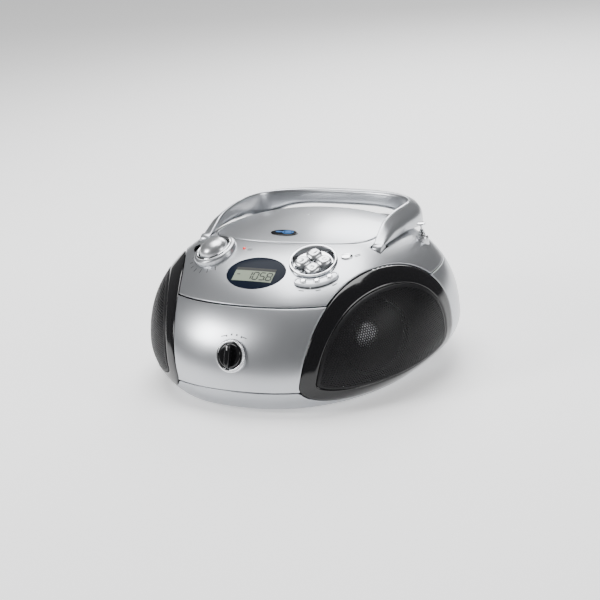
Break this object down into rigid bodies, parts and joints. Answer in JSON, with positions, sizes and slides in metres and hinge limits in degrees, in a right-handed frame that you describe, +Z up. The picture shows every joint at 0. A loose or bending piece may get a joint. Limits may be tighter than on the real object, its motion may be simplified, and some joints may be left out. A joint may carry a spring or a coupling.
{
  "type": "portable cd radio",
  "caption": "Pebble-shaped portable CD radio with folding carry handle, domed disc lid, side speakers, control cluster and telescopic antenna.",
  "frame": {"origin": "middle of the footprint, on the surface the feet stand on", "axes": "+X to the right of someone facing the set, +Y to its back, +Z up"},
  "size_m": [0.2806, 0.2578, 0.1347],
  "materials": {
    "album_key": "gloss",
    "antenna_base": "satin",
    "antenna_section_1": "polished",
    "antenna_section_2": "polished",
    "antenna_section_3": "polished",
    "antenna_section_4": "polished",
    "back_button": "gloss",
    "battery_bay": "satin",
    "battery_door": "satin",
    "bottom_shell": "satin",
    "cd_button_well": "gloss",
    "cd_hub": "satin",
    "cd_lid": "satin",
    "cd_well": "satin",
    "display_window": "gloss",
    "front_left_foot": "matte",
    "front_panel": "satin",
    "front_right_foot": "matte",
    "handle": "satin",
    "key_strip": "gloss",
    "laser_sled": "satin",
    "lcd_panel": "satin",
    "left_baffle": "satin",
    "left_cone": "satin",
    "left_grille": "satin",
    "left_handle_pin": "satin",
    "left_speaker_frame": "satin",
    "left_trim_ring": "gloss",
    "lid_badge": "gloss",
    "lid_hinge_pin": "satin",
    "main_board": "satin",
    "mains_inlet": "satin",
    "mains_transformer": "satin",
    "mode_bezel": "gloss",
    "mode_key": "gloss",
    "mode_knob": "satin",
    "mode_switch": "satin",
    "play_button": "gloss",
    "program_button": "gloss",
    "rear_left_foot": "matte",
    "rear_panel": "satin",
    "rear_right_foot": "matte",
    "repeat_key": "gloss",
    "right_baffle": "satin",
    "right_cone": "satin",
    "right_grille": "satin",
    "right_handle_pin": "satin",
    "right_speaker_frame": "satin",
    "right_trim_ring": "gloss",
    "skip_button": "gloss",
    "sled_gear": "satin",
    "sled_rod": "satin",
    "spindle_motor": "satin",
    "stereo_led": "gloss",
    "stop_button": "gloss",
    "top_shell": "satin",
    "usb_socket": "gloss",
    "volume_collar": "gloss",
    "volume_knob": "gloss",
    "volume_pot": "satin"
  },
  "bodies": {
    "chassis": {"antenna_base": "antenna_base", "battery_bay": "battery_bay", "bottom_shell": "bottom_shell", "cd_button_well": "cd_button_well", "cd_well": "cd_well", "display_window": "display_window", "front_left_foot": "front_left_foot", "front_panel": "front_panel", "front_right_foot": "front_right_foot", "key_strip": "key_strip", "lcd_panel": "lcd_panel", "left_baffle": "left_baffle", "left_grille": "left_grille", "left_handle_pin": "left_handle_pin", "left_speaker_frame": "left_speaker_frame", "left_trim_ring": "left_trim_ring", "lid_hinge_pin": "lid_hinge_pin", "main_board": "main_board", "mains_inlet": "mains_inlet", "mains_transformer": "mains_transformer", "mode_bezel": "mode_bezel", "mode_switch": "mode_switch", "rear_left_foot": "rear_left_foot", "rear_panel": "rear_panel", "rear_right_foot": "rear_right_foot", "right_baffle": "right_baffle", "right_grille": "right_grille", "right_handle_pin": "right_handle_pin", "right_speaker_frame": "right_speaker_frame", "right_trim_ring": "right_trim_ring", "sled_rod": "sled_rod", "spindle_motor": "spindle_motor", "stereo_led": "stereo_led", "top_shell": "top_shell", "usb_socket": "usb_socket", "volume_collar": "volume_collar", "volume_pot": "volume_pot"},
    "handle": {"handle": "handle"},
    "lid": {"cd_lid": "cd_lid", "lid_badge": "lid_badge"},
    "hub": {"cd_hub": "cd_hub"},
    "sled": {"laser_sled": "laser_sled"},
    "gear": {"sled_gear": "sled_gear"},
    "volume": {"volume_knob": "volume_knob"},
    "mode": {"mode_knob": "mode_knob"},
    "battery_door": {"battery_door": "battery_door"},
    "left_cone": {"left_cone": "left_cone"},
    "right_cone": {"right_cone": "right_cone"},
    "play_button_body": {"play_button": "play_button"},
    "stop_button_body": {"stop_button": "stop_button"},
    "back_button_body": {"back_button": "back_button"},
    "skip_button_body": {"skip_button": "skip_button"},
    "repeat_key_body": {"repeat_key": "repeat_key"},
    "mode_key_body": {"mode_key": "mode_key"},
    "album_key_body": {"album_key": "album_key"},
    "program_button_body": {"program_button": "program_button"},
    "antenna_1": {"antenna_section_1": "antenna_section_1"},
    "antenna_2": {"antenna_section_2": "antenna_section_2"},
    "antenna_3": {"antenna_section_3": "antenna_section_3"},
    "antenna_4": {"antenna_section_4": "antenna_section_4"}
  },
  "joints": [
    {"name": "handle_swing", "type": "hinge", "parent": "chassis", "child": "handle", "pos_m": [0, 0.00286, 0.1126], "axis": [1, 0, 0], "range_deg": [0, 80]},
    {"name": "lid_hinge", "type": "hinge", "parent": "chassis", "child": "lid", "pos_m": [0, 0.10576, 0.1118], "axis": [-1, 0, 0], "range_deg": [0, 45]},
    {"name": "hub_spin", "type": "hinge", "parent": "chassis", "child": "hub", "pos_m": [0, 0.04036, 0.106], "axis": [0, 0, 1], "continuous": true},
    {"name": "sled_travel", "type": "slide", "parent": "chassis", "child": "sled", "axis": [0, -1, 0], "range_m": [0, 0.033]},
    {"name": "gear_turn", "type": "hinge", "parent": "chassis", "child": "gear", "pos_m": [-0.0138, 0.00486, 0.097], "axis": [0, 0, -1], "range_deg": [0, 300]},
    {"name": "volume_turn", "type": "hinge", "parent": "chassis", "child": "volume", "pos_m": [-0.055, -0.03664, 0.11545], "axis": [-0.168, -0.3305, 0.9287], "range_deg": [-150, 150]},
    {"name": "mode_turn", "type": "hinge", "parent": "chassis", "child": "mode", "pos_m": [0, -0.11676, 0.052], "axis": [0, -0.9285, 0.3713], "range_deg": [-45, 45]},
    {"name": "play_button_press", "type": "slide", "parent": "chassis", "child": "play_button_body", "axis": [-0.1324, 0.3583, -0.9242], "range_m": [0, 0.001], "stiffness_N_per_m": 300},
    {"name": "stop_button_press", "type": "slide", "parent": "chassis", "child": "stop_button_body", "axis": [-0.1324, 0.3583, -0.9242], "range_m": [0, 0.001], "stiffness_N_per_m": 300},
    {"name": "back_button_press", "type": "slide", "parent": "chassis", "child": "back_button_body", "axis": [-0.1324, 0.3583, -0.9242], "range_m": [0, 0.001], "stiffness_N_per_m": 300},
    {"name": "skip_button_press", "type": "slide", "parent": "chassis", "child": "skip_button_body", "axis": [-0.1324, 0.3583, -0.9242], "range_m": [0, 0.001], "stiffness_N_per_m": 300},
    {"name": "repeat_key_press", "type": "slide", "parent": "chassis", "child": "repeat_key_body", "axis": [-0.1324, 0.3583, -0.9242], "range_m": [0, 0.0008], "stiffness_N_per_m": 300},
    {"name": "mode_key_press", "type": "slide", "parent": "chassis", "child": "mode_key_body", "axis": [-0.1324, 0.3583, -0.9242], "range_m": [0, 0.0008], "stiffness_N_per_m": 300},
    {"name": "album_key_press", "type": "slide", "parent": "chassis", "child": "album_key_body", "axis": [-0.1324, 0.3583, -0.9242], "range_m": [0, 0.0008], "stiffness_N_per_m": 300},
    {"name": "program_button_press", "type": "slide", "parent": "chassis", "child": "program_button_body", "axis": [-0.2513, 0.2761, -0.9277], "range_m": [0, 0.0008], "stiffness_N_per_m": 300},
    {"name": "antenna_slide_1", "type": "slide", "parent": "chassis", "child": "antenna_1", "axis": [0, 0, 1], "range_m": [0, 0.075]},
    {"name": "antenna_slide_2", "type": "slide", "parent": "antenna_1", "child": "antenna_2", "axis": [0, 0, 1], "range_m": [0, 0.075]},
    {"name": "antenna_slide_3", "type": "slide", "parent": "antenna_2", "child": "antenna_3", "axis": [0, 0, 1], "range_m": [0, 0.075]},
    {"name": "antenna_slide_4", "type": "slide", "parent": "antenna_3", "child": "antenna_4", "axis": [0, 0, 1], "range_m": [0, 0.075]},
    {"name": "battery_door_hinge", "type": "hinge", "parent": "chassis", "child": "battery_door", "pos_m": [0.01, 0.02286, 0.004], "axis": [-1, 0, 0], "range_deg": [0, 70]},
    {"name": "left_cone_travel", "type": "slide", "parent": "chassis", "child": "left_cone", "axis": [-0.866, -0.5, 0], "range_m": [-0.0012, 0.0012], "stiffness_N_per_m": 1500},
    {"name": "right_cone_travel", "type": "slide", "parent": "chassis", "child": "right_cone", "axis": [0.866, -0.5, 0], "range_m": [-0.0012, 0.0012], "stiffness_N_per_m": 1500}
  ],
  "couplings": [
    {"joint": "gear_turn", "follows": "sled_travel", "rad_per_m": 156}
  ]
}
